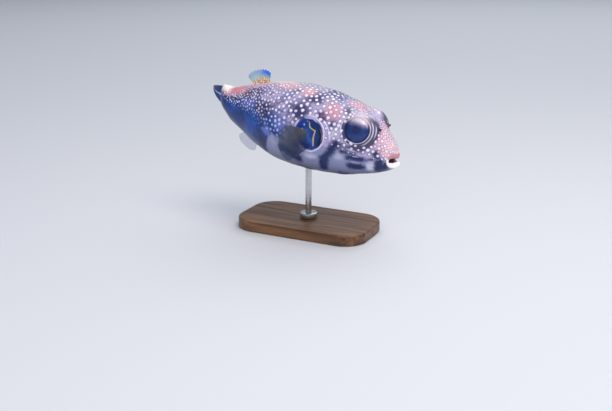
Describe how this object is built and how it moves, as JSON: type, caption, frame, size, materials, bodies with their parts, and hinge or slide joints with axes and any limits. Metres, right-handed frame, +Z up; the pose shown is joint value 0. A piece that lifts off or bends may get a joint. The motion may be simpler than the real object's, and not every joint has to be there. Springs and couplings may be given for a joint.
{
  "type": "white-spotted pufferfish display model",
  "caption": "Life-size white-spotted puffer swimming with its nose a little down, carried by a short rod on a flat base, as a still museum display model.",
  "frame": {"origin": "centre of the underside of the stand's base", "axes": "+X along the fish towards its snout, +Y towards the fish's own left, +Z up"},
  "size_m": [0.2839, 0.1129, 0.1989],
  "materials": {
    "skin": "wet, finely prickled skin, mauve-brown with white spots",
    "eye": "glossy, wet",
    "beak": "smooth tooth enamel",
    "fin": "thin, rayed, slightly see-through membrane",
    "stand_wood": "oiled walnut",
    "stand_steel": "brushed"
  },
  "bodies": {
    "root": {"head": "skin", "trunk": "skin", "tail": "skin", "nostril_right": "skin", "nostril_left": "skin", "eye_right": "eye", "eye_left": "eye", "beak_upper": "beak", "beak_lower": "beak", "dorsal_fin": "fin", "anal_fin": "fin", "caudal_fin": "fin", "pectoral_fin_right": "fin", "pectoral_fin_left": "fin", "stand_base": "stand_wood", "stand_collar": "stand_steel", "stand_rod": "stand_steel"}
  },
  "joints": []
}
